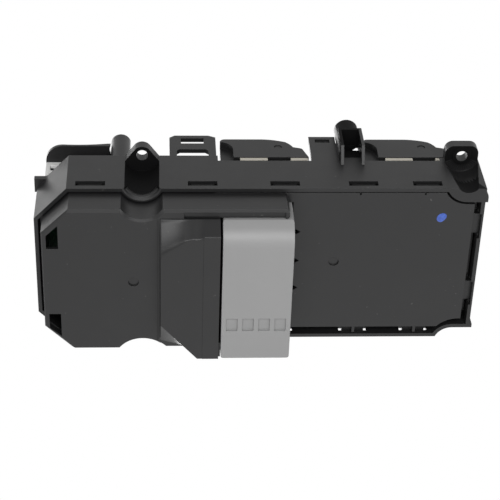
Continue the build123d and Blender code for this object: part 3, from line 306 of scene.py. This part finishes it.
def dab_point(a, share):
    """A point of the paint dab at angle a, with share 0 at its middle and 1 at its uneven edge."""
    long_way, short_way, thickness, uneven, tilt = 2.55, 2.0, 0.18, 0.04, math.radians(-52)
    u = long_way * share * math.cos(a)
    v = short_way * share * (1 + uneven * math.sin(3 * a)) * math.sin(a)
    x = u * math.cos(tilt) - v * math.sin(tilt)
    y = u * math.sin(tilt) + v * math.cos(tilt)
    return Vector((x, y, -thickness * (1 - share**2)))


def paint_dot():
    """Dab of inspection paint on the cover's floor, longer one way."""
    turns, rings = 40, 5
    centre = Vector((62.7, -26.2, RIM_Z - 0.02))
    bm = bmesh.new()
    top = vertex(bm, *(centre + dab_point(0, 0)))
    last = None
    for ring in range(1, rings + 1):
        angles = [2 * math.pi * i / turns for i in range(turns)]
        loop = [vertex(bm, *(centre + dab_point(a, ring / rings))) for a in angles]
        for i in range(turns):
            j = (i + 1) % turns
            if last is None:
                bm.faces.new((top, loop[j], loop[i]))
            else:
                bm.faces.new((last[i], last[j], loop[j], loop[i]))
        last = loop
    mesh_object("paint_dot", bm, paint_look(), "module")


paint_dot()


def grid_object(name, rows, material):
    """A surface through rows of points, fixed to the module."""
    bm = bmesh.new()
    made = [[vertex(bm, *point) for point in row] for row in rows]
    for first, second in zip(made, made[1:]):
        for i in range(len(first) - 1):
            bm.faces.new((first[i], second[i], second[i + 1], first[i + 1]))
    bmesh.ops.recalc_face_normals(bm, faces=bm.faces)
    mesh_object(name, bm, material, "module")


def part_way(value, start, end):
    """How far value has come from start to end, from 0 to 1."""
    return min(1, max(0, (value - start) / (end - start)))


def ramp_run(x):
    """The y of the ramp's crown at x, and the share of its run that rises."""
    front_y, bend_y, corner_y = -18.1, -25.1, -29.8
    if x < RIDGE_BEND_X:
        crown_y = front_y + (bend_y - front_y) * (x - RIDGE_FRONT_X) / (RIDGE_BEND_X - RIDGE_FRONT_X)
    else:
        crown_y = bend_y + (corner_y - bend_y) * part_way(x, RIDGE_BEND_X, RIDGE_CORNER_X)
    share = (x - RIDGE_FRONT_X) / (RIDGE_CORNER_X - RIDGE_FRONT_X)
    front_run, hollow, hollow_by, fill, fill_from = 0.84, 0.26, 0.55, 0.4, 0.75
    run = front_run - hollow * min(1, share / hollow_by) + fill * part_way(share, fill_from, 1)
    return crown_y, run


def ramp_height(t, end, soft):
    """Share of the ramp's height at t of its run: a rise up to end, a soft corner, then flat. The last
    few steps are drawn up to the full height, so that the ramp meets its crown everywhere."""
    samples = [part_way(t + soft * d / 3, 0, end) for d in range(-3, 4)]
    crown = t**8
    return sum(samples) / len(samples) * (1 - crown) + crown


def ramp_surface():
    """Hollow, twisted face of the connector ridge's ramp, gentle in front and steep by the connector."""
    columns, steps = 54, 40
    start_x, end_x = RIDGE_FRONT_X - 0.02, RIDGE_REAR_X - 0.05
    hem_z, foot_z, crown_z = BOX_Z + 0.4, BOX_Z - 0.04, RIDGE_Z - 0.03
    step, step_x0, step_x1 = 0.15, -46.2, -46.8
    soft_front, soft_rear, soft_x0, soft_x1 = 0.1, 0.015, -58, -53
    rows = []
    for i in range(columns + 1):
        x = start_x + (end_x - start_x) * i / columns
        crown_y, end = ramp_run(x)
        soft = soft_front + (soft_rear - soft_front) * part_way(x, soft_x0, soft_x1)
        rise = crown_z + step * part_way(x, step_x0, step_x1) - BOX_Z
        row = [(x, RIDGE_NEAR_Y, hem_z)]
        for j in range(steps + 1):
            t = j / steps
            y = RIDGE_NEAR_Y + (crown_y - RIDGE_NEAR_Y) * t
            row.append((x, y, foot_z + rise * ramp_height(t, end, soft)))
        rows.append(row)
    side = [(x, y, hem_z) for x, y, z in rows[0]]
    grid_object("ramp_surface", [side] + rows, looks["base_cover"])


def trough_collar(name, side):
    """Bevelled lip inside the mouth of a front screwdriver trough, thickest at its two ends."""
    outer_r, inner_r, setback, bevel, lip = TROUGH_R - 0.04, 7.0, 0.9, 1.4, 1.6
    first_turn, last_turn, turns = 20, 160, 36
    bevel_z, top_z = RIM_Z + bevel, RIM_Z + bevel + lip
    rows = []
    for i in range(turns + 1):
        a = math.radians(first_turn + (last_turn - first_turn) * i / turns)
        back = setback * math.sin(a)
        reach = math.sqrt(back**2 + outer_r**2 - setback**2) - back
        edge_r = min(inner_r + bevel, reach)
        edge_z = bevel_z + inner_r - edge_r
        profile = [(reach, edge_z), (edge_r, edge_z), (inner_r, bevel_z), (inner_r, top_z), (reach, top_z)]
        rows.append([
            (r * math.cos(a) - EAR_X, side * (EAR_Y - setback - r * math.sin(a)), z) for r, z in profile
        ])
    grid_object(name, rows, looks["upper_housing"])


ramp_surface()
trough_collar("near_trough_collar", -1)
trough_collar("far_trough_collar", 1)


def stroke(bm, points, width, lift, closed=False):
    """A flat printed line through points, with mitred corners. lift(x, y) gives its height."""
    count = len(points)
    left, right = [], []
    for i, point in enumerate(points):
        here = Vector(point)
        before = Vector(points[i - 1]) if closed or i else None
        after = Vector(points[(i + 1) % count]) if closed or i < count - 1 else None
        first = (here - before).normalized() if before else (after - here).normalized()
        second = (after - here).normalized() if after else first
        along = (first + second).normalized()
        normal = Vector((-along.y, along.x))
        reach = width / 2 / max(0.5, normal.dot(Vector((-first.y, first.x))))
        for side, store in ((1, left), (-1, right)):
            x, y = here + normal * reach * side
            store.append(vertex(bm, x, y, lift(x, y)))
    for i in range(count if closed else count - 1):
        j = (i + 1) % count
        bm.faces.new((right[i], right[j], left[j], left[i]))


def patch(bm, points, lift):
    """A flat printed shape with these corners."""
    bm.faces.new([vertex(bm, x, y, lift(x, y)) for x, y in points])


def arc(x, y, r, start, end, steps=10):
    """Points round part of a circle, from one angle to another in degrees."""
    turns = [math.radians(start + (end - start) * i / steps) for i in range(steps + 1)]
    return [(x + r * math.cos(t), y + r * math.sin(t)) for t in turns]


def print_look():
    """White print, worn thin in specks."""
    white = (0.5, 0.5, 0.49)
    look = Look("white_print", white, 0.5)
    worn = look.noise(scale=1500, detail=4, rough=0.7)
    look.paint(look.blend(look.spread(worn, 0.62, 0.75, out_high=0.6), white, (0.12, 0.12, 0.12)))
    return look.material


white_print = print_look()

# Height of the print over its control and width of its lines, in mm
PRINT_LIFT = 0.02
LINE_WIDTH = 0.45


def box_mm(node):
    """The two corners of a node's box, in mm."""
    low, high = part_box(node)
    return low / MM, high / MM


def window_mark(place):
    """Plain outline of a side window with an arrow in it, on a window rocker's crown."""
    bm = bmesh.new()
    low, high = box_mm(place + "_rocker")
    setback, crown_z = 10.0, 19.1
    x, y = low.x + setback, (low.y + high.y) / 2

    def lift(px, py):
        return crown_z + PRINT_LIFT

    outline = [(-2.6, -4.0), (-2.6, 4.0), (0.4, 4.0), (2.6, 1.4), (2.6, -4.0)]
    stroke(bm, [(x - u, y + v) for u, v in outline], LINE_WIDTH, lift, closed=True)
    shaft_y, shaft_width, head_half = y - 0.9, 0.4, 1.1
    stroke(bm, [(x + 1.7, shaft_y), (x - 0.6, shaft_y)], shaft_width, lift)
    patch(bm, [(x - 1.9, shaft_y), (x - 0.5, shaft_y - head_half), (x - 0.5, shaft_y + head_half)], lift)
    mesh_object(place + "_mark", bm, white_print, place + "_window_control", smooth=False)


def lock_mark():
    """Plain padlock on the door lock rocker, following its shallow hollow."""
    bm = bmesh.new()
    low, high = box_mm("door_lock_rocker")
    pivot_setback, half_length, dish = 15.0, 13.9, 1.1
    middle = low.x + pivot_setback
    hollow_r = (half_length**2 + dish**2) / (2 * dish)
    x, y = low.x + 23.0, low.y + 14.3
    half_height, half_width, bow_r, bow_leg = 1.6, 2.0, 1.3, 1.0

    def lift(px, py):
        return high.z + hollow_r - dish - math.sqrt(hollow_r**2 - (px - middle) ** 2) + PRINT_LIFT

    front, back = x - half_height, x + half_height
    left, right = y - half_width, y + half_width
    patch(bm, [(front, left), (back, left), (back, right), (front, right)], lift)
    bow = [(front, y - bow_r)] + arc(front - bow_leg, y, bow_r, 270, 90) + [(front, y + bow_r)]
    stroke(bm, bow, LINE_WIDTH, lift)
    mesh_object("lock_mark", bm, white_print, "door_lock_control", smooth=False)


def mirror_marks():
    """Four direction triangles on the mirror pad's sloping dish."""
    bm = bmesh.new()
    low, high = box_mm("mirror_pad")
    cx, cy = (low.x + high.x) / 2, (low.y + high.y) / 2
    dish_r, dish = 11.5, 0.9
    tip, back, half_width = 10.2, 8.4, 1.1

    def lift(px, py):
        r = math.hypot(px - cx, py - cy)
        return high.z - dish * (dish_r - r) / (dish_r / 2) + PRINT_LIFT

    for turn in range(4):
        c, s = math.cos(turn * math.pi / 2), math.sin(turn * math.pi / 2)
        corners = [(tip, 0), (back, half_width), (back, -half_width)]
        patch(bm, [(cx + u * c - v * s, cy + u * s + v * c) for u, v in corners], lift)
    mesh_object("mirror_marks", bm, white_print, "mirror_control", smooth=False)


for place in windows:
    window_mark(place)
lock_mark()
mirror_marks()


def stage_material():
    """Pale floor, seen only from above: from below it lets the view through."""
    look = Look("pale_floor", (0.8, 0.8, 0.8), 0.7)
    clear = look.add("ShaderNodeBsdfTransparent")
    mix = look.add("ShaderNodeMixShader")
    geometry = look.add("ShaderNodeNewGeometry")
    above, below = 1, 2
    look.join(geometry.outputs["Backfacing"], mix.inputs["Fac"])
    look.join(look.shader.outputs["BSDF"], mix.inputs[above])
    look.join(clear.outputs["BSDF"], mix.inputs[below])
    look.join(mix.outputs["Shader"], look.nodes["Material Output"].inputs["Surface"])
    return look.material


def floor():
    """Wide floor just under the object. It takes shadows, but it neither lights nor shades the object."""
    half, gap = 3.0, 0.0001
    low = min(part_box(node)[0].z for node in frame["nodes"]) - gap
    bm = bmesh.new()
    corners = ((-half, -half), (half, -half), (half, half), (-half, half))
    bm.faces.new([bm.verts.new((x, y, low)) for x, y in corners])
    mesh = bpy.data.meshes.new("floor")
    bm.to_mesh(mesh)
    bm.free()
    obj = bpy.data.objects.new("floor", mesh)
    bpy.context.scene.collection.objects.link(obj)
    mesh.materials.append(stage_material())
    obj.visible_diffuse = False
    obj.visible_glossy = False
    obj.visible_transmission = False
    obj.visible_shadow = False


floor()


def area_light(name, at, power, size, size_y=None, target=(0, 0, -0.03)):
    """Soft light that looks at the target, unseen by the camera. Metres and watts."""
    data = bpy.data.lights.new(name, "AREA")
    data.energy = power
    data.shape = "RECTANGLE"
    data.size = size
    data.size_y = size_y or size
    obj = bpy.data.objects.new(name, data)
    bpy.context.scene.collection.objects.link(obj)
    obj.location = at
    direction = Vector(target) - Vector(at)
    obj.rotation_mode = "QUATERNION"
    obj.rotation_quaternion = direction.to_track_quat("-Z", "Y")
    obj.visible_camera = False


area_light("key", (-0.04, -0.6, -0.8), power=10.5, size=1.1, size_y=0.58)
area_light("front side", (-1.0, 0.0, -0.32), power=1.2, size=0.55)
area_light("rear side", (1.0, 0.0, -0.32), power=3.6, size=0.55)
area_light("fill", (0.1, 0.55, -0.83), power=1.9, size=0.9)
area_light("top", (-0.2, 0.55, 0.8), power=9.0, size=1.2, size_y=0.8, target=(0, 0, 0))


def world():
    """White where it is seen, mirrored or seen through, and a weak even light for the rest."""
    room_light, seen_light = 0.25, 1.0
    made = bpy.data.worlds.new("studio")
    bpy.context.scene.world = made
    made.use_nodes = True
    nodes, links = made.node_tree.nodes, made.node_tree.links
    background = nodes["Background"]
    background.inputs["Color"].default_value = (1, 1, 1, 1)
    path = nodes.new("ShaderNodeLightPath")
    spread = nodes.new("ShaderNodeMapRange")
    seen = path.outputs["Is Camera Ray"]
    for name in ("Is Glossy Ray", "Is Transmission Ray"):
        either = nodes.new("ShaderNodeMath")
        either.operation = "MAXIMUM"
        links.new(seen, either.inputs[0])
        links.new(path.outputs[name], either.inputs[1])
        seen = either.outputs["Value"]
    links.new(seen, spread.inputs["Value"])
    spread.inputs["To Min"].default_value = room_light
    spread.inputs["To Max"].default_value = seen_light
    links.new(spread.outputs["Result"], background.inputs["Strength"])


world()


def camera():
    """The photograph's camera."""
    data = bpy.data.cameras.new("camera")
    data.lens = LENS_MM
    data.sensor_width = SENSOR_MM
    data.clip_start = 0.01
    data.clip_end = 20
    obj = bpy.data.objects.new("camera", data)
    bpy.context.scene.collection.objects.link(obj)
    axes = Matrix((CAMERA_RIGHT, CAMERA_UP, CAMERA_BACK)).transposed().to_4x4()
    obj.matrix_world = Matrix.Translation(CAMERA_AT) @ axes
    bpy.context.scene.camera = obj


camera()
bpy.context.scene.view_settings.view_transform = "Standard"
